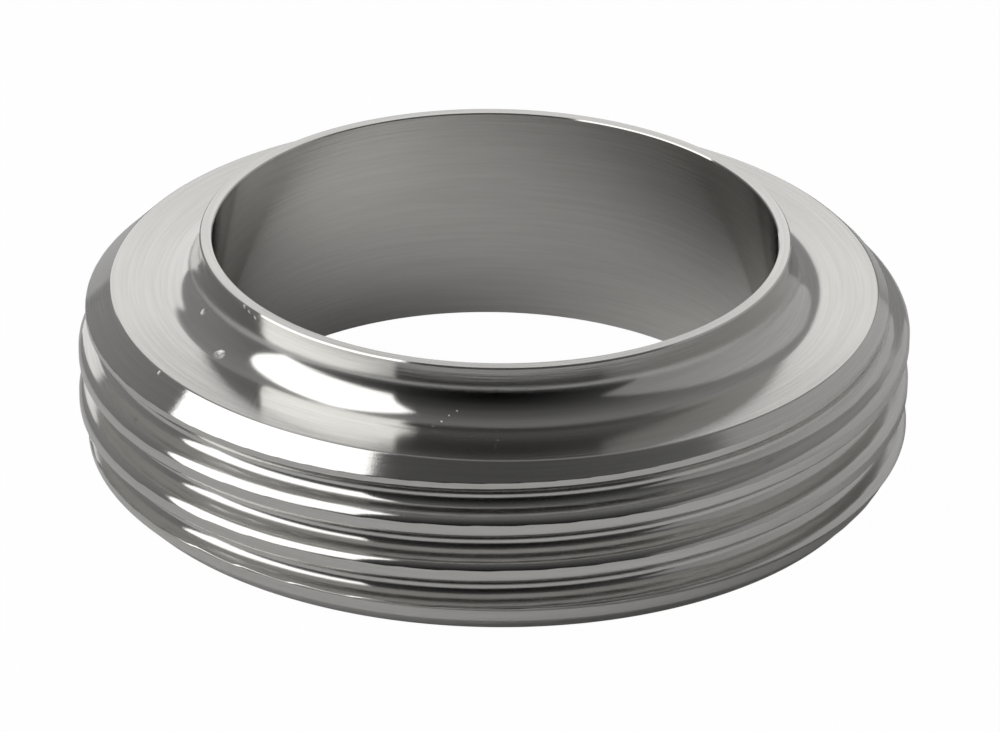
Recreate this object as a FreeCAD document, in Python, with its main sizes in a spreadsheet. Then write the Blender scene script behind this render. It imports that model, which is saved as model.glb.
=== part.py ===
import FreeCAD, Part
import math
import os
import Sketcher

# Threaded male end of a dairy pipe union, turned from stainless bar in one piece.
# The mating face lies on Z = 0, the axis is +Z, and the thin weld end is at the top.

SIZES = {
    # weld end, which is butted to the tube
    "weld_diameter": 51.0,
    "wall_thickness": 1.1,
    "neck_height": 1.6,
    "outer_edge_break": 0.2,
    "inner_edge_break": 0.1,
    # shoulder between the neck and the thread
    "fillet_radius": 3.0,
    "shoulder_height": 15.3,
    "top_chamfer": 2.8,
    "top_chamfer_angle": 45.0,
    # right-hand round thread, six turns to the inch
    "thread_diameter": 72.0,
    "thread_pitch": 4.2333,
    "thread_depth": 2.08,
    "thread_angle": 30.0,
    "crest_radius": 1.0,
    "crest_land": 0.8,
    "first_groove_height": 0.8,
    # lower end, turned down to lead the nut on
    "pilot_step": 0.75,
    "pilot_height": 2.8,
    "end_chamfer": 1.4,
    # seat of the joint ring, between an inner lip and an outer wall
    "seat_lip": 2.1,
    "seat_wall": 2.85,
    "seat_depth": 2.5,
}

# The rounds of the thread form are made of this many equal flats, each inscribed in its arc.
ROOT_FLATS = 5
CREST_FLATS = 1

# Places that more than one feature uses, as sums of the driving sizes.
WELD = "Sizes.weld_diameter / 2"
BORE = f"({WELD} - Sizes.wall_thickness)"
OUTSIDE = "Sizes.thread_diameter / 2"
SHOULDER = f"({OUTSIDE} - Sizes.top_chamfer)"
PILOT = f"({OUTSIDE} - Sizes.pilot_step)"
END_FACE = f"({PILOT} - Sizes.end_chamfer)"
LEDGE = "Sizes.shoulder_height"
SIDE_TOP = f"({LEDGE} - Sizes.top_chamfer * tan(Sizes.top_chamfer_angle * 1 deg))"
TOP = f"({LEDGE} + Sizes.fillet_radius + Sizes.neck_height)"
SEAT_INNER = f"({BORE} + Sizes.seat_lip)"
SEAT_OUTER = f"({END_FACE} - Sizes.seat_wall)"
ROOT = f"({OUTSIDE} - Sizes.thread_depth)"
LIP = f"({OUTSIDE} + Sizes.crest_radius)"
HALF_LAND = "Sizes.crest_land / 2"
# The groove starts one pitch under the lowest one that shows, so it runs in from below the part.
LEVEL = "(Sizes.first_groove_height - Sizes.thread_pitch)"
UPPER_TURN = f"({LEVEL} + Sizes.thread_pitch / 2)"
LOWER_TURN = f"({LEVEL} - Sizes.thread_pitch / 2)"
RUN = f"({LEDGE} + 2 * Sizes.thread_pitch)"

START, END, CENTRE = 1, 2, 3

doc = FreeCAD.newDocument("union_male_part")

sheet = doc.addObject("Spreadsheet::Sheet", "Sizes")
for row, (name, value) in enumerate(SIZES.items(), start=1):
    sheet.set(f"A{row}", name)
    sheet.set(f"B{row}", str(value))
    sheet.setAlias(f"B{row}", name)
doc.recompute()


def size(expression):
    """Present value of a sum of driving sizes, in millimetres or degrees."""
    result = sheet.evalExpression(expression)
    return float(getattr(result, "Value", result))


def new_sketch(body, name):
    """An empty sketch on the body's XZ plane: its x is the radius, its y the height."""
    plane = [item for item in body.Origin.OriginFeatures if item.Role == "XZ_Plane"][0]
    sketch = body.newObject("Sketcher::SketchObject", name)
    sketch.AttachmentSupport = [(plane, "")]
    sketch.MapMode = "FlatFace"
    return sketch


def point(x, y):
    """A point of a sketch."""
    return FreeCAD.Vector(x, y, 0)


def line(sketch, start, end):
    """A straight edge of a sketch."""
    return sketch.addGeometry(Part.LineSegment(start, end), False)


def arc(sketch, centre, radius, start_angle, end_angle, construction=False):
    """An arc of a sketch, counter-clockwise between two angles in degrees."""
    circle = Part.Circle(centre, FreeCAD.Vector(0, 0, 1), radius)
    piece = Part.ArcOfCircle(circle, math.radians(start_angle), math.radians(end_angle))
    return sketch.addGeometry(piece, construction)


def join(sketch, first, first_end, second, second_end):
    """Let two edges meet at their ends."""
    sketch.addConstraint(Sketcher.Constraint("Coincident", first, first_end, second, second_end))


def blend(sketch, first, first_end, second, second_end):
    """Let two edges meet at their ends without a corner."""
    sketch.addConstraint(Sketcher.Constraint("Tangent", first, first_end, second, second_end))


def chain(sketch, edges):
    """Join each edge's end to the start of the next."""
    for edge, following in zip(edges, edges[1:]):
        join(sketch, edge, END, following, START)


def align(sketch, direction, *edges):
    """Keep edges Horizontal or Vertical."""
    for edge in edges:
        sketch.addConstraint(Sketcher.Constraint(direction, edge))


def bind(sketch, name, constraint, expression):
    """Add a named dimension to a sketch and tie it to the sheet."""
    index = sketch.addConstraint(constraint)
    sketch.renameConstraint(index, name)
    sketch.setExpression(f"Constraints.{name}", expression)


def bind_radius(sketch, name, edge, end, expression):
    """Tie a point's distance from the axis."""
    place = Sketcher.Constraint("DistanceX", -1, 1, edge, end, size(expression))
    bind(sketch, name, place, expression)


def bind_height(sketch, name, edge, end, expression):
    """Tie a point's height over the mating face."""
    place = Sketcher.Constraint("DistanceY", -1, 1, edge, end, size(expression))
    bind(sketch, name, place, expression)


def inscribe(sketch, guide, centre, radius, start_angle, end_angle, count):
    """Equal flats with their corners on a guide arc, from its start to its end."""
    step = math.radians(end_angle - start_angle) / count
    angles = [math.radians(start_angle) + step * number for number in range(count + 1)]
    corners = [centre + point(radius * math.cos(angle), radius * math.sin(angle)) for angle in angles]
    flats = [line(sketch, start, end) for start, end in zip(corners, corners[1:])]
    chain(sketch, flats)
    join(sketch, flats[0], START, guide, START)
    join(sketch, flats[-1], END, guide, END)
    for flat, following in zip(flats, flats[1:]):
        sketch.addConstraint(Sketcher.Constraint("PointOnObject", flat, END, guide))
        sketch.addConstraint(Sketcher.Constraint("Equal", flat, following))
    return flats


def blank_sketch(body):
    """Half section of the turned blank, before the thread and the joint seat are cut."""
    bore, weld, shoulder = size(BORE), size(WELD), size(SHOULDER)
    outside, pilot, end_face = size(OUTSIDE), size(PILOT), size(END_FACE)
    ledge, side_top, top = size(LEDGE), size(SIDE_TOP), size(TOP)
    fillet, end_cut = size("Sizes.fillet_radius"), size("Sizes.end_chamfer")
    pilot_top = size("Sizes.pilot_height")

    sketch = new_sketch(body, "blank_section")
    face = line(sketch, point(bore, 0), point(end_face, 0))
    end_bevel = line(sketch, point(end_face, 0), point(pilot, end_cut))
    pilot_side = line(sketch, point(pilot, end_cut), point(pilot, pilot_top))
    step = line(sketch, point(pilot, pilot_top), point(outside, pilot_top))
    side = line(sketch, point(outside, pilot_top), point(outside, side_top))
    top_bevel = line(sketch, point(outside, side_top), point(shoulder, ledge))
    shelf = line(sketch, point(shoulder, ledge), point(weld + fillet, ledge))
    cove = arc(sketch, point(weld + fillet, ledge + fillet), fillet, 180, 270)
    neck = line(sketch, point(weld, ledge + fillet), point(weld, top))
    rim = line(sketch, point(weld, top), point(bore, top))
    wall = line(sketch, point(bore, top), point(bore, 0))

    chain(sketch, [face, end_bevel, pilot_side, step, side, top_bevel, shelf])
    blend(sketch, shelf, END, cove, END)
    blend(sketch, cove, START, neck, START)
    chain(sketch, [neck, rim, wall, face])
    align(sketch, "Horizontal", face, step, shelf, rim)
    align(sketch, "Vertical", pilot_side, side, neck, wall)

    sketch.addConstraint(Sketcher.Constraint("PointOnObject", face, START, -1))
    bind_radius(sketch, "bore", face, START, BORE)
    bind_radius(sketch, "weld", neck, START, WELD)
    bind_radius(sketch, "shoulder", shelf, START, SHOULDER)
    bind_radius(sketch, "outside", side, START, OUTSIDE)
    bind_radius(sketch, "pilot", pilot_side, START, PILOT)
    bind_radius(sketch, "end_face", end_bevel, START, END_FACE)
    bind_height(sketch, "end_bevel_top", end_bevel, END, "Sizes.end_chamfer")
    bind_height(sketch, "pilot_top", step, START, "Sizes.pilot_height")
    bind_height(sketch, "ledge", shelf, START, LEDGE)
    bind_height(sketch, "side_top", side, END, SIDE_TOP)
    bind_height(sketch, "top", rim, START, TOP)
    bind(sketch, "cove", Sketcher.Constraint("Radius", cove, fillet), "Sizes.fillet_radius")
    return sketch


def seat_sketch(body):
    """Section of the annular seat for the joint ring, open towards the mating face."""
    inner, outer, depth = size(SEAT_INNER), size(SEAT_OUTER), size("Sizes.seat_depth")

    sketch = new_sketch(body, "seat_section")
    mouth = line(sketch, point(inner, 0), point(outer, 0))
    outer_wall = line(sketch, point(outer, 0), point(outer, depth))
    floor = line(sketch, point(outer, depth), point(inner, depth))
    inner_wall = line(sketch, point(inner, depth), point(inner, 0))

    chain(sketch, [mouth, outer_wall, floor, inner_wall, mouth])
    align(sketch, "Horizontal", mouth, floor)
    align(sketch, "Vertical", outer_wall, inner_wall)

    sketch.addConstraint(Sketcher.Constraint("PointOnObject", mouth, START, -1))
    bind_radius(sketch, "inner", mouth, START, SEAT_INNER)
    bind_radius(sketch, "outer", mouth, END, SEAT_OUTER)
    bind_height(sketch, "depth", floor, START, "Sizes.seat_depth")
    return sketch


def groove_sketch(body):
    """Form of the thread groove: two leaning flanks, a round root and half a crest on each side.

    The flanks lean by half the thread angle. The root arc has the one radius that joins them at
    full depth. The crest arcs stop at the outside diameter, which leaves the flat land.
    """
    pitch, outside, bottom = size("Sizes.thread_pitch"), size(OUTSIDE), size(ROOT)
    crest, half_land, lip = size("Sizes.crest_radius"), size(HALF_LAND), size(LIP)
    lean = math.radians(size("Sizes.thread_angle") / 2)
    level, upper_turn, lower_turn = size(LEVEL), size(UPPER_TURN), size(LOWER_TURN)
    crest_centre = outside - math.sqrt(crest ** 2 - half_land ** 2)

    # the root radius for which the flank is tangent to both arcs
    rise = pitch / 2 - crest * math.cos(lean)
    reach = crest_centre + crest * math.sin(lean) - bottom
    root = (reach - rise / math.tan(lean)) / (1 - math.sin(lean) - math.cos(lean) / math.tan(lean))
    root_centre = bottom + root
    mouth = pitch / 2 - half_land
    flank_angle = math.degrees(lean)
    land_angle = math.degrees(math.asin(half_land / crest))
    root_span = (90 + flank_angle, 270 - flank_angle)
    upper_span = (270 + flank_angle, 360 - land_angle)
    lower_span = (land_angle, 90 - flank_angle)

    sketch = new_sketch(body, "groove_form")
    root_middle = point(root_centre, level)
    upper_middle = point(crest_centre, upper_turn)
    lower_middle = point(crest_centre, lower_turn)
    root_arc = arc(sketch, root_middle, root, *root_span, construction=True)
    upper_crest = arc(sketch, upper_middle, crest, *upper_span, construction=True)
    lower_crest = arc(sketch, lower_middle, crest, *lower_span, construction=True)

    upper_root = point(root_centre - root * math.sin(lean), level + root * math.cos(lean))
    upper_tip = point(crest_centre + crest * math.sin(lean), level + rise)
    lower_root = point(upper_root.x, 2 * level - upper_root.y)
    lower_tip = point(upper_tip.x, 2 * level - upper_tip.y)
    upper_flank = line(sketch, upper_root, upper_tip)
    lower_flank = line(sketch, lower_tip, lower_root)
    upper_lip = line(sketch, point(outside, level + mouth), point(lip, level + mouth))
    closing = line(sketch, point(lip, level + mouth), point(lip, level - mouth))
    lower_lip = line(sketch, point(lip, level - mouth), point(outside, level - mouth))

    blend(sketch, root_arc, START, upper_flank, START)
    blend(sketch, upper_flank, END, upper_crest, START)
    join(sketch, upper_crest, END, upper_lip, START)
    chain(sketch, [upper_lip, closing, lower_lip])
    join(sketch, lower_lip, END, lower_crest, START)
    blend(sketch, lower_crest, END, lower_flank, START)
    blend(sketch, lower_flank, END, root_arc, END)
    align(sketch, "Horizontal", upper_lip, lower_lip)
    align(sketch, "Vertical", closing)

    deepest = sketch.addGeometry(Part.Point(point(bottom, level)), True)
    sketch.addConstraint(Sketcher.Constraint("PointOnObject", deepest, START, root_arc))
    sketch.addConstraint(Sketcher.Constraint("Horizontal", deepest, START, root_arc, CENTRE))
    sketch.addConstraint(Sketcher.Constraint("Equal", upper_crest, lower_crest))

    bind_height(sketch, "level", root_arc, CENTRE, LEVEL)
    bind_height(sketch, "upper_turn", upper_crest, CENTRE, UPPER_TURN)
    bind_height(sketch, "lower_turn", lower_crest, CENTRE, LOWER_TURN)
    bind_radius(sketch, "root", deepest, START, ROOT)
    bind_radius(sketch, "upper_edge", upper_crest, END, OUTSIDE)
    bind_radius(sketch, "lower_edge", lower_crest, START, OUTSIDE)
    bind_radius(sketch, "lip", closing, START, LIP)
    bind(sketch, "crest", Sketcher.Constraint("Radius", upper_crest, crest), "Sizes.crest_radius")
    bind(sketch, "upper_land",
         Sketcher.Constraint("DistanceY", upper_crest, END, upper_crest, CENTRE, half_land), HALF_LAND)
    bind(sketch, "lower_land",
         Sketcher.Constraint("DistanceY", lower_crest, CENTRE, lower_crest, START, half_land), HALF_LAND)
    bind(sketch, "flank", Sketcher.Constraint("Angle", upper_flank, lean), "Sizes.thread_angle / 2 * 1 deg")

    inscribe(sketch, root_arc, root_middle, root, *root_span, ROOT_FLATS)
    inscribe(sketch, upper_crest, upper_middle, crest, *upper_span, CREST_FLATS)
    inscribe(sketch, lower_crest, lower_middle, crest, *lower_span, CREST_FLATS)
    return sketch


def rim_edge(shape, radius, height):
    """Name of the circular edge with this radius at this height."""
    for number, edge in enumerate(shape.Edges, start=1):
        if not isinstance(edge.Curve, Part.Circle):
            continue
        if math.isclose(edge.Curve.Radius, radius) and math.isclose(edge.Curve.Center.z, height):
            return f"Edge{number}"
    raise RuntimeError(f"no round edge of radius {radius} at height {height}")


def break_edge(body, name, base, radius, width):
    """Small bevel on one edge of the weld rim."""
    bevel = body.newObject("PartDesign::Chamfer", name)
    bevel.Base = (base, [rim_edge(base.Shape, size(radius), size(TOP))])
    bevel.setExpression("Size", width)
    doc.recompute()
    return bevel


def turn(body, kind, name, profile):
    """A feature that turns its section once round the axis."""
    feature = body.newObject(kind, name)
    feature.Profile = profile
    feature.ReferenceAxis = (profile, ["V_Axis"])
    feature.Angle = 360
    doc.recompute()
    return feature


def cut_thread(body):
    """The groove form carried up a right-hand helix, from below the part to above its shoulder."""
    profile = groove_sketch(body)
    thread = body.newObject("PartDesign::SubtractiveHelix", "round_thread")
    thread.Profile = profile
    thread.ReferenceAxis = (profile, ["V_Axis"])
    thread.Mode = "pitch-height-angle"
    thread.LeftHanded = False
    thread.Reversed = False
    thread.Refine = False
    thread.setExpression("Pitch", "Sizes.thread_pitch")
    thread.setExpression("Height", RUN)
    doc.recompute()
    return thread


def make_male_part():
    """The turned piece: blank, rim bevels, joint seat and thread."""
    body = doc.addObject("PartDesign::Body", "male_part")
    body.Label = "male_part"
    blank = turn(body, "PartDesign::Revolution", "blank", blank_sketch(body))
    outer_break = break_edge(body, "outer_break", blank, WELD, "Sizes.outer_edge_break")
    inner_break = break_edge(body, "inner_break", outer_break, BORE, "Sizes.inner_edge_break")
    seat = turn(body, "PartDesign::Groove", "joint_seat", seat_sketch(body))
    thread = cut_thread(body)
    body.Tip = thread
    doc.recompute()

    steps = [blank, outer_break, inner_break, seat, thread]
    for uncut, cut in zip(steps, steps[1:]):
        if cut.Shape.Volume >= uncut.Shape.Volume:
            raise RuntimeError(f"{cut.Label} removed nothing")
    return body


def check(document, pieces):
    """Stop before anything is written if a feature failed or a piece isn't one good solid."""
    for item in document.Objects:
        if "Invalid" in item.State or "Error" in item.State:
            raise RuntimeError(f"{item.Label} is {item.State}")
    for piece in pieces:
        if piece.Shape.isNull() or not piece.Shape.isValid() or len(piece.Shape.Solids) != 1:
            raise RuntimeError(f"{piece.Label} isn't one valid solid")


pieces = [make_male_part()]
doc.recompute()
check(doc, pieces)
os.makedirs("parts", exist_ok=True)
for piece in pieces:
    piece.Shape.exportStep(f"parts/{piece.Label}.step")
    print(f"{piece.Label}: {piece.Shape.Volume / 1000:.2f} cm3, {len(piece.Shape.Faces)} faces")
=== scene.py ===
import bmesh
import bpy
import math
from mathutils import Matrix, Vector


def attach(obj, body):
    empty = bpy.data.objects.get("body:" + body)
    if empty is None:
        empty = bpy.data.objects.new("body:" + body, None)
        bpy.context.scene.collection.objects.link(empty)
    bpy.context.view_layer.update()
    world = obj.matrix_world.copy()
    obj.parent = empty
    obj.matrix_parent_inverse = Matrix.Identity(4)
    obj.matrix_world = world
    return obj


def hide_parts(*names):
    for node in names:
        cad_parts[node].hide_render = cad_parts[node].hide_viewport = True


# Dairy union male part: one steel ring turned from bar, thread outwards, weld end up.
# Lengths are millimetres here and become metres in the mesh.

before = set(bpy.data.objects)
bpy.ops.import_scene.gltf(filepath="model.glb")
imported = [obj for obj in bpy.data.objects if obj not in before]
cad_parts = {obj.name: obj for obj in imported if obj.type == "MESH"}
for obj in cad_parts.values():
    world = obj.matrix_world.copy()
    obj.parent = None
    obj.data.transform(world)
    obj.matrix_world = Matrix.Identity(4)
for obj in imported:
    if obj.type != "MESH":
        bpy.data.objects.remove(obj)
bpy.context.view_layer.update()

mm = 0.001
plainWhite = (1, 1, 1, 1)


def smallerOf(a, b, rounding):
    # the smaller of two radii, with the corner between them rounded off
    overlap = max(rounding - abs(a - b), 0) / rounding
    return min(a, b) - overlap * overlap * rounding / 4


# the ring

ring = {
    "boreRadius": 24.4,
    "weldRadius": 25.5,
    "threadRadius": 36.0,
    "endRadius": 33.85,
    "pilotRadius": 35.25,     # the lower end is turned down to lead the nut on
    "pilotHeight": 2.3,
    "pilotShoulder": 1.0,     # slope of its shoulder, which cuts into the lowest crest
    "shoulderRadius": 33.2,
    "shoulderHeight": 15.3,
    "height": 19.9,
    "cove": 3.0,
    "seatInner": 26.5,
    "seatOuter": 31.0,
    "seatDepth": 2.5,
    "outerBreak": 0.13,
    "innerBreak": 0.1,
    "seatBreak": 0.3,
    "shoulderBreak": 0.15,
    "endBreak": 0.06,
    "cornerBreak": 0.12,      # the other corners of the mating face
    "coveSegments": 16,
    "stepsAround": 360,
    "lowerRow": 0.08,         # heights of the rows of faces: lower end, thread, top chamfer
    "threadRow": 0.082,
    "upperRow": 0.046,
    "shortestWall": 0.7,      # the faces of the breaks are narrower and get no rows
    "endMargin": 0.05,        # what the thread leaves as it is near the ends of the outside
    "shoulderMargin": 0.02,
    "mergeGap": 1e-5,
    "smoothAngle": 28,
}

thread = {
    "pitch": 4.2333,
    "depth": 2.08,
    "flankAngle": 15.0,
    "crestRadius": 1.0,
    "crestLand": 0.8,
    "crestHeight": 2.917,     # height of the lowest full crest at +X
    "edgeCut": 0.43,          # how far the thin edge between top chamfer and flank is turned back
    "edgeRadius": 34.1,       # and the radius at which that ends
    "edgeRounding": 0.1,
}

dents = [
    # angle in degrees, height, size along and across, depth
    {"angle": 206.3, "height": 12.6, "along": 0.35, "across": 0.3, "depth": 0.12},
    {"angle": 313.7, "height": 13.95, "along": 0.2, "across": 0.35, "depth": 0.12},
]


def threadForm():
    # the sizes that the section needs, worked out once
    lean = math.radians(thread["flankAngle"])
    crest = thread["crestRadius"]
    halfLand = thread["crestLand"] / 2
    crestCentre = ring["threadRadius"] - math.sqrt(crest ** 2 - halfLand ** 2)
    bottom = ring["threadRadius"] - thread["depth"]
    rise = thread["pitch"] / 2 - crest * math.cos(lean)
    reach = crestCentre + crest * math.sin(lean) - bottom
    slope = math.tan(lean)
    root = (reach - rise / slope) / (1 - math.sin(lean) - math.cos(lean) / slope)
    return {
        "crestCentre": crestCentre,
        "flankStart": crest * math.cos(lean),
        "flankEnd": thread["pitch"] / 2 - root * math.cos(lean),
        "flankTop": crestCentre + crest * math.sin(lean),
        "slope": slope,
        "root": root,
        "rootCentre": bottom + root,
    }


form = threadForm()


def formRadiusAt(offset):
    # radius of the thread's form at a distance along the axis from the middle of a crest
    if offset <= thread["crestLand"] / 2:
        return ring["threadRadius"]
    if offset <= form["flankStart"]:
        return form["crestCentre"] + math.sqrt(thread["crestRadius"] ** 2 - offset ** 2)
    if offset <= form["flankEnd"]:
        return form["flankTop"] - (offset - form["flankStart"]) / form["slope"]
    return form["rootCentre"] - math.sqrt(form["root"] ** 2 - (thread["pitch"] / 2 - offset) ** 2)


def lowerEndRadiusAt(height):
    # chamfer, pilot and the pilot's shoulder
    chamfer = ring["endRadius"] + height
    shoulder = ring["pilotRadius"] + (height - ring["pilotHeight"]) * ring["pilotShoulder"]
    return min(chamfer, max(ring["pilotRadius"], shoulder))


def topChamferRadiusAt(below, height):
    # the chamfer, and the short upright land where its thin edge on a crest's lower flank is turned back
    chamfer = ring["shoulderRadius"] + ring["shoulderHeight"] - height
    if below < 0:
        return chamfer
    flank = form["flankTop"] - (below - form["flankStart"]) / form["slope"]
    edge = chamfer + (flank - chamfer) * form["slope"] / (1 + form["slope"])
    return min(chamfer, max(edge - thread["edgeCut"], thread["edgeRadius"]))


def outsideRadiusAt(angle, height):
    # right-handed thread, both ends and the dents
    pitch = thread["pitch"]
    below = (thread["crestHeight"] + pitch * angle / math.tau - height + pitch / 2) % pitch - pitch / 2
    soft = thread["edgeRounding"]
    radius = smallerOf(formRadiusAt(abs(below)), topChamferRadiusAt(below, height), soft)
    radius = smallerOf(radius, lowerEndRadiusAt(height), soft)
    for dent in dents:
        along = math.remainder(angle - math.radians(dent["angle"]), math.tau) * radius / dent["along"]
        across = (height - dent["height"]) / dent["across"]
        radius -= dent["depth"] * math.exp(-along ** 2 - across ** 2)
    return radius


def outsideNormalAt(angle, height):
    # from the radius a small step to each side
    step = 0.01
    radius = outsideRadiusAt(angle, height)
    around = step / radius
    rise = (outsideRadiusAt(angle, height + step) - outsideRadiusAt(angle, height - step)) / (2 * step)
    turn = (outsideRadiusAt(angle + around, height) - outsideRadiusAt(angle - around, height)) / (2 * step)
    outward = Vector((math.cos(angle), math.sin(angle), 0))
    sideways = Vector((-math.sin(angle), math.cos(angle), 0))
    return (outward - sideways * turn - Vector((0, 0, rise))).normalized()


def makeSection(bm):
    # half section as a loop of edges: corners first, then their rounds, then the thread's rows
    threadStart = ring["pilotHeight"] + (ring["threadRadius"] - ring["pilotRadius"]) / ring["pilotShoulder"]
    threadEnd = ring["shoulderHeight"] - (ring["threadRadius"] - ring["shoulderRadius"])
    corners = [
        # radius, height, length taken off along each side, segments
        (ring["boreRadius"], 0, ring["cornerBreak"], 2),
        (ring["seatInner"], 0, ring["cornerBreak"], 2),
        (ring["seatInner"], ring["seatDepth"], ring["seatBreak"], 3),
        (ring["seatOuter"], ring["seatDepth"], ring["seatBreak"], 3),
        (ring["seatOuter"], 0, ring["cornerBreak"], 2),
        (ring["endRadius"], 0, ring["endBreak"], 2),
        (ring["pilotRadius"], ring["pilotRadius"] - ring["endRadius"], 0, 0),
        (ring["pilotRadius"], ring["pilotHeight"], 0, 0),
        (ring["threadRadius"], threadStart, 0, 0),
        (ring["threadRadius"], threadEnd, 0, 0),
        (ring["shoulderRadius"], ring["shoulderHeight"], ring["shoulderBreak"], 3),
        (ring["weldRadius"], ring["shoulderHeight"], ring["cove"], ring["coveSegments"]),
        (ring["weldRadius"], ring["height"], ring["outerBreak"], 1),
        (ring["boreRadius"], ring["height"], ring["innerBreak"], 1),
    ]
    verts = [bm.verts.new((radius, 0, height)) for radius, height, cut, segments in corners]
    for a, b in zip(verts, verts[1:] + verts[:1]):
        bm.edges.new((a, b))
    for vert, (radius, height, cut, segments) in zip(verts, corners):
        if segments:
            bmesh.ops.bevel(bm, geom=[vert], offset=cut, offset_type="OFFSET", segments=segments,
                            profile=0.5, affect="VERTICES", material=-1)
    walls = [edge for edge in bm.edges if edge.calc_length() > ring["shortestWall"]
             and min(vert.co.x for vert in edge.verts) > ring["shoulderRadius"]]
    for edge in walls:
        low, high = sorted(vert.co.z for vert in edge.verts)
        middle = (low + high) / 2
        row = ring["threadRow"]
        if middle < threadStart:
            row = ring["lowerRow"]
        elif middle > threadEnd:
            row = ring["upperRow"]
        bmesh.ops.subdivide_edges(bm, edges=[edge], cuts=round((high - low) / row) - 1)


def cornerNormal(face, vert):
    # faces that meet at a small angle share a normal, and the widest of them leads it
    total = Vector((0, 0, 0))
    for other in vert.link_faces:
        if face.normal.angle(other.normal) < math.radians(ring["smoothAngle"]):
            total += other.normal * other.calc_area() ** 3
    return total.normalized()


def makeRing():
    bm = bmesh.new()
    makeSection(bm)
    bmesh.ops.spin(bm, geom=bm.verts[:] + bm.edges[:], cent=(0, 0, 0), axis=(0, 0, 1),
                   angle=math.tau, steps=ring["stepsAround"], use_merge=True)
    bmesh.ops.remove_doubles(bm, verts=bm.verts[:], dist=ring["mergeGap"])
    bmesh.ops.recalc_face_normals(bm, faces=bm.faces[:])

    # the thread is cut by moving the outer wall in to it
    slopes = {}
    inmost = ring["shoulderRadius"] + ring["shoulderMargin"]
    lowest, highest = ring["endMargin"], ring["shoulderHeight"] - ring["endMargin"]
    for vert in bm.verts:
        radius = math.hypot(vert.co.x, vert.co.y)
        if radius > inmost and lowest < vert.co.z < highest:
            angle = math.atan2(vert.co.y, vert.co.x) % math.tau
            moved = outsideRadiusAt(angle, vert.co.z)
            slopes[vert.index] = outsideNormalAt(angle, vert.co.z)
            vert.co.x, vert.co.y = moved * math.cos(angle), moved * math.sin(angle)
    bm.normal_update()
    normals = []
    for face in bm.faces:
        face.smooth = True
        normals += [slopes.get(vert.index) or cornerNormal(face, vert) for vert in face.verts]
    bmesh.ops.scale(bm, vec=(mm, mm, mm), verts=bm.verts[:])
    mesh = bpy.data.meshes.new("threadedRing")
    bm.to_mesh(mesh)
    bm.free()
    mesh.normals_split_custom_set(normals)
    piece = bpy.data.objects.new("threadedRing", mesh)
    bpy.context.scene.collection.objects.link(piece)
    print("ring:", len(mesh.vertices), "vertices,", len(mesh.polygons), "faces")
    return piece


# materials


def linear(hexColour):
    # sRGB hex to linear red, green, blue, alpha
    parts = [int(hexColour[i:i + 2], 16) / 255 for i in (1, 3, 5)]
    return [p / 12.92 if p <= 0.04045 else ((p + 0.055) / 1.055) ** 2.4 for p in parts] + [1]


def addNode(tree, kind, settings=None, inputs=None):
    # a node with its settings, and its inputs as values or as links from other nodes' outputs
    node = tree.nodes.new(kind)
    for name, value in (settings or {}).items():
        setattr(node, name, value)
    for name, value in (inputs or {}).items():
        if isinstance(value, bpy.types.NodeSocket):
            tree.links.new(value, node.inputs[name])
        else:
            node.inputs[name].default_value = value
    return node


def newMaterial(name):
    material = bpy.data.materials.new(name)
    material.use_nodes = True
    material.node_tree.nodes.clear()
    return material, material.node_tree


steel = {
    "colour": "#d6d5d2",
    "markColour": "#cfcecb",  # in the marks' bottoms
    "roughness": 0.115,
    "anisotropy": 1.0,        # the grooves spread a highlight across them and hardly along them
    "quarterTurn": 0.25,      # turns that spread from along the grooves to across them
    "markWidth": 0.25,        # millimetres between the broadest turning marks, finer ones lie in them
    "markDepth": 0.007,
    "markArc": 20,            # degrees round the ring over which a mark comes and goes
    "markDetail": 4.0,
    "markFade": 0.55,         # strength of each finer mark to the one before
    "markLevels": (0.38, 0.62),   # of the marks' noise, from the bottoms to the tops
    "grainSize": 0.16,
    "grainDepth": 0.0016,
    "grainDetail": 2.0,
    "grainFade": 0.5,
}

wear = {
    "depth": 0.3,             # depth of a mark as a share of its radius
    "raggedness": 0.25,       # how far its outline strays, in millimetres
    "marks": [
        # place on the ring in millimetres, and radius
        ((-24.8, -8.62, 16.31), 0.4),     # cove
        ((-23.18, -14.94, 15.45), 0.6),
        ((-21.07, -14.36, 19.73), 0.2),   # rim of the weld end
        ((-20.63, -14.99, 19.58), 0.2),
        ((-20.1, -15.7, 19.38), 0.2),
        ((-28.11, -17.9, 15.18), 0.22),   # edge of the shoulder
        ((0.28, -25.53, 17.88), 0.12),    # neck
        ((-3.02, -26.13, 16.26), 0.09),   # a trail of specks down the cove to the shoulder
        ((-3.68, -26.41, 15.93), 0.09),
        ((-4.33, -26.87, 15.59), 0.12),
        ((-4.99, -27.37, 15.38), 0.09),
        ((-4.65, -28.1, 15.3), 0.09),
        ((-1.82, -28.91, 15.3), 0.09),
        ((0.42, -29.55, 15.3), 0.09),
    ],
}


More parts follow.
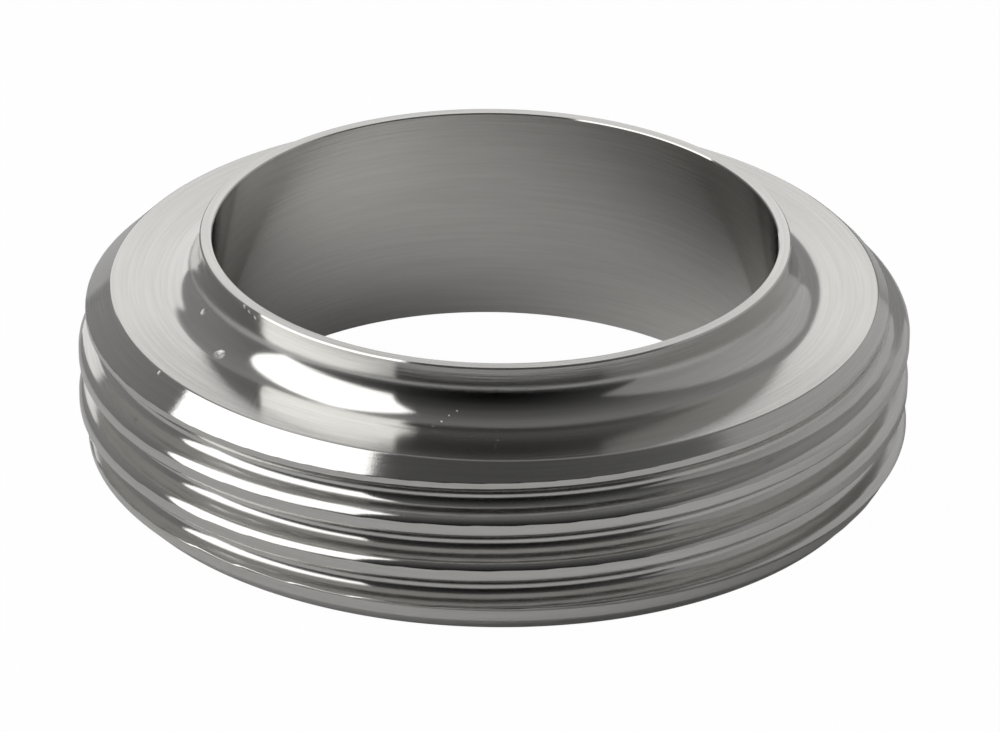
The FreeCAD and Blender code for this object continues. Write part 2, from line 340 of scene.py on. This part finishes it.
def wearRelief(tree, place, noise):
    # depth below the surface at each mark, in millimetres
    stray = addNode(tree, "ShaderNodeVectorMath", {"operation": "SUBTRACT"},
                    {0: noise, 1: (0.5, 0.5, 0.5)})
    stray = addNode(tree, "ShaderNodeVectorMath", {"operation": "MULTIPLY_ADD"},
                    {0: stray.outputs[0], 1: [wear["raggedness"] * mm] * 3, 2: place})
    depth = 0.0
    for point, radius in wear["marks"]:
        away = addNode(tree, "ShaderNodeVectorMath", {"operation": "DISTANCE"},
                       {0: stray.outputs[0], 1: [length * mm for length in point]})
        pit = addNode(tree, "ShaderNodeMapRange", {"interpolation_type": "SMOOTHSTEP"},
                      {"Value": away.outputs["Value"], "From Min": 0.0, "From Max": radius * mm,
                       "To Min": radius * wear["depth"], "To Max": 0.0})
        deepest = addNode(tree, "ShaderNodeMath", {"operation": "MAXIMUM"},
                          {0: pit.outputs[0], 1: depth})
        depth = deepest.outputs[0]
    return depth


def turnedStainless():
    # Stainless bar turned with a fine feed: grooves run round the axis, so highlights spread across
    # them and stay narrow along them.
    material, tree = newMaterial("turnedStainlessSteel")
    place = addNode(tree, "ShaderNodeTexCoord")
    axes = addNode(tree, "ShaderNodeSeparateXYZ", None, {0: place.outputs["Object"]})

    # the marks' noise has the section's two axes, and a circle in its other two for the way round
    flatPlace = addNode(tree, "ShaderNodeCombineXYZ", None,
                        {0: axes.outputs[0], 1: axes.outputs[1]})
    radius = addNode(tree, "ShaderNodeVectorMath", {"operation": "LENGTH"},
                     {0: flatPlace.outputs[0]})
    outward = addNode(tree, "ShaderNodeVectorMath", {"operation": "NORMALIZE"},
                      {0: flatPlace.outputs[0]})
    circle = steel["markWidth"] * mm / math.radians(steel["markArc"])
    swing = addNode(tree, "ShaderNodeVectorMath", {"operation": "SCALE"},
                    {0: outward.outputs[0], "Scale": circle})
    swing = addNode(tree, "ShaderNodeSeparateXYZ", None, {0: swing.outputs[0]})
    section = addNode(tree, "ShaderNodeCombineXYZ", None,
                      {0: radius.outputs["Value"], 1: axes.outputs[2], 2: swing.outputs[0]})
    marks = addNode(tree, "ShaderNodeTexNoise", {"noise_dimensions": "4D"},
                    {"Vector": section.outputs[0], "W": swing.outputs[1],
                     "Scale": 1 / (steel["markWidth"] * mm),
                     "Detail": steel["markDetail"], "Roughness": steel["markFade"]})
    grain = addNode(tree, "ShaderNodeTexNoise", None,
                    {"Vector": place.outputs["Object"], "Scale": 1 / (steel["grainSize"] * mm),
                     "Detail": steel["grainDetail"], "Roughness": steel["grainFade"]})

    relief = addNode(tree, "ShaderNodeBump", None,
                     {"Strength": 1.0, "Distance": steel["grainDepth"] * mm,
                      "Height": grain.outputs[0]})
    relief = addNode(tree, "ShaderNodeBump", None,
                     {"Strength": 1.0, "Distance": steel["markDepth"] * mm,
                      "Height": marks.outputs[0], "Normal": relief.outputs[0]})
    wornIn = wearRelief(tree, place.outputs["Object"], grain.outputs["Color"])
    relief = addNode(tree, "ShaderNodeBump", {"invert": True},
                     {"Strength": 1.0, "Distance": mm, "Height": wornIn, "Normal": relief.outputs[0]})

    markLow, markHigh = steel["markLevels"]
    tone = addNode(tree, "ShaderNodeMapRange", None,
                   {"Value": marks.outputs[0], "From Min": markLow, "From Max": markHigh})
    colour = addNode(tree, "ShaderNodeMix", {"data_type": "RGBA"},
                     {0: tone.outputs[0], 6: linear(steel["markColour"]), 7: linear(steel["colour"])})
    around = addNode(tree, "ShaderNodeTangent", {"direction_type": "RADIAL", "axis": "Z"})
    shader = addNode(tree, "ShaderNodeBsdfPrincipled", None,
                     {"Base Color": colour.outputs[2], "Metallic": 1.0,
                      "Roughness": steel["roughness"], "Anisotropic": steel["anisotropy"],
                      "Anisotropic Rotation": steel["quarterTurn"],
                      "Normal": relief.outputs[0], "Tangent": around.outputs[0]})
    addNode(tree, "ShaderNodeOutputMaterial", None, {"Surface": shader.outputs[0]})
    return material


paper = {
    "colour": "#f5f5f5",
    "level": -0.05,           # the floor lies just under the ring and not in the plane of its face
    "shown": 0.985,           # share of plain white in what the camera sees, the rest keeps the shadow
    "mirrored": 0.03,         # the same share in what the steel shows of the floor
}


def whitePaper(mirrored):
    # Matt white paper with a share of plain white: one share for the camera, another, mirrored, for
    # the steel's reflections.
    material, tree = newMaterial("whitePaper")
    light = addNode(tree, "ShaderNodeLightPath")
    seen = addNode(tree, "ShaderNodeMath", {"operation": "MAXIMUM"},
                   {0: light.outputs["Is Camera Ray"], 1: light.outputs["Is Transmission Ray"]})
    seen = addNode(tree, "ShaderNodeMath", {"operation": "MULTIPLY"},
                   {0: seen.outputs[0], 1: paper["shown"]})
    reflected = addNode(tree, "ShaderNodeMath", {"operation": "MULTIPLY"},
                        {0: light.outputs["Is Glossy Ray"], 1: mirrored})
    share = addNode(tree, "ShaderNodeMath", {"operation": "MAXIMUM"},
                    {0: seen.outputs[0], 1: reflected.outputs[0]})
    matt = addNode(tree, "ShaderNodeBsdfDiffuse", None, {"Color": linear(paper["colour"])})
    white = addNode(tree, "ShaderNodeEmission", None, {"Color": plainWhite, "Strength": 1.0})
    mixed = addNode(tree, "ShaderNodeMixShader", None,
                    {0: share.outputs[0], 1: matt.outputs[0], 2: white.outputs[0]})
    addNode(tree, "ShaderNodeOutputMaterial", None, {"Surface": mixed.outputs[0]})
    return material


floorLevel = paper["level"] * mm

sheets = [
    # corners in metres: the floor ends just in front of the ring, the backdrop stands behind it
    {"name": "floor", "mirrored": paper["mirrored"],
     "corners": [(-1.5, -0.105, floorLevel), (1.5, -0.105, floorLevel),
                 (1.5, 2.5, floorLevel), (-1.5, 2.5, floorLevel)]},
    {"name": "backdrop", "mirrored": 1.0,
     "corners": [(-0.81, 1.53, 0), (0.29, 1.53, 0), (0.29, 1.53, 0.87), (-0.81, 1.53, 0.87)]},
]


def makeSheet(sheet):
    bm = bmesh.new()
    bm.faces.new([bm.verts.new(corner) for corner in sheet["corners"]])
    mesh = bpy.data.meshes.new(sheet["name"])
    bm.to_mesh(mesh)
    bm.free()
    mesh.materials.append(whitePaper(sheet["mirrored"]))
    piece = bpy.data.objects.new(sheet["name"], mesh)
    bpy.context.scene.collection.objects.link(piece)
    return piece


# light and camera

softboxes = [
    # place in metres, direction it shines in, direction of its first side, size, watts
    {"name": "softboxLeft", "place": (-0.522, -0.199, 0.828), "shines": (0.951, -0.294, -0.093),
     "side": (-0.18, -0.775, 0.606), "size": (1.14, 1.21), "watts": 7.13},
    {"name": "reflectorRight", "place": (0.939, 0.25, 0.238), "shines": (-0.91, -0.107, -0.401),
     "side": (-0.15, 0.986, 0.077), "size": (2.45, 1.2), "watts": 2.0},
]


def makeSoftbox(box):
    lamp = bpy.data.lights.new(box["name"], "AREA")
    lamp.shape = "RECTANGLE"
    lamp.size, lamp.size_y = box["size"]
    lamp.energy = box["watts"]
    away = -Vector(box["shines"]).normalized()
    side = Vector(box["side"])
    side = (side - away * side.dot(away)).normalized()
    turned = Matrix((side, away.cross(side), away)).transposed()
    holder = bpy.data.objects.new(box["name"], lamp)
    holder.matrix_world = Matrix.Translation(box["place"]) @ turned.to_4x4()
    holder.visible_camera = False
    bpy.context.scene.collection.objects.link(holder)


room = {"front": 0.0, "back": 0.31}   # the studio is dark on the camera's side


def makeWorld():
    world = bpy.data.worlds.new("studio")
    world.use_nodes = True
    tree = world.node_tree
    tree.nodes.clear()
    light = addNode(tree, "ShaderNodeLightPath")
    place = addNode(tree, "ShaderNodeTexCoord")
    axes = addNode(tree, "ShaderNodeSeparateXYZ", None, {0: place.outputs["Generated"]})
    level = addNode(tree, "ShaderNodeMapRange", None,
                    {"Value": axes.outputs[1], "From Min": -1.0, "From Max": 1.0,
                     "To Min": room["front"], "To Max": room["back"]})
    walls = addNode(tree, "ShaderNodeBackground", None,
                    {"Color": plainWhite, "Strength": level.outputs[0]})
    white = addNode(tree, "ShaderNodeBackground", None, {"Color": plainWhite, "Strength": 1.0})
    seen = addNode(tree, "ShaderNodeMath", {"operation": "MAXIMUM"},
                   {0: light.outputs["Is Camera Ray"], 1: light.outputs["Is Transmission Ray"]})
    mixed = addNode(tree, "ShaderNodeMixShader", None,
                    {0: seen.outputs[0], 1: walls.outputs[0], 2: white.outputs[0]})
    addNode(tree, "ShaderNodeOutputWorld", None, {"Surface": mixed.outputs[0]})
    bpy.context.scene.world = world


camera = {
    "elevation": 27.721,
    "distance": 612.26,
    "lens": 252.04,
    "sensorWidth": 36.0,
    "aim": (-0.59, -0.053, 0.826),   # degrees the view is tipped, swung and rolled from the origin
}


def makeCamera():
    up = math.radians(camera["elevation"])
    place = Vector((0, -math.cos(up), math.sin(up))) * camera["distance"] * mm
    tip, swing, roll = (math.radians(angle) for angle in camera["aim"])
    flip = Matrix.Rotation(math.pi, 3, "X")
    forward = -place.normalized()
    right = Vector((1, 0, 0))
    looking = Matrix((right, forward.cross(right), forward))
    looking = Matrix.Rotation(tip, 3, "X") @ Matrix.Rotation(swing, 3, "Y") @ looking
    looking = Matrix.Rotation(roll, 3, "Z") @ looking
    lens = bpy.data.cameras.new("camera")
    lens.lens = camera["lens"]
    lens.sensor_width = camera["sensorWidth"]
    holder = bpy.data.objects.new("camera", lens)
    holder.matrix_world = Matrix.Translation(place) @ (looking.transposed() @ flip).to_4x4()
    bpy.context.scene.collection.objects.link(holder)
    bpy.context.scene.camera = holder


# putting it together

threadedRing = makeRing()
threadedRing.data.materials.append(turnedStainless())
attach(threadedRing, "root")
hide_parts("male_part")
print("ring made")

for sheet in sheets:
    makeSheet(sheet)
for box in softboxes:
    makeSoftbox(box)
makeWorld()
makeCamera()
bpy.context.scene.view_settings.view_transform = "Standard"
print("stage made")
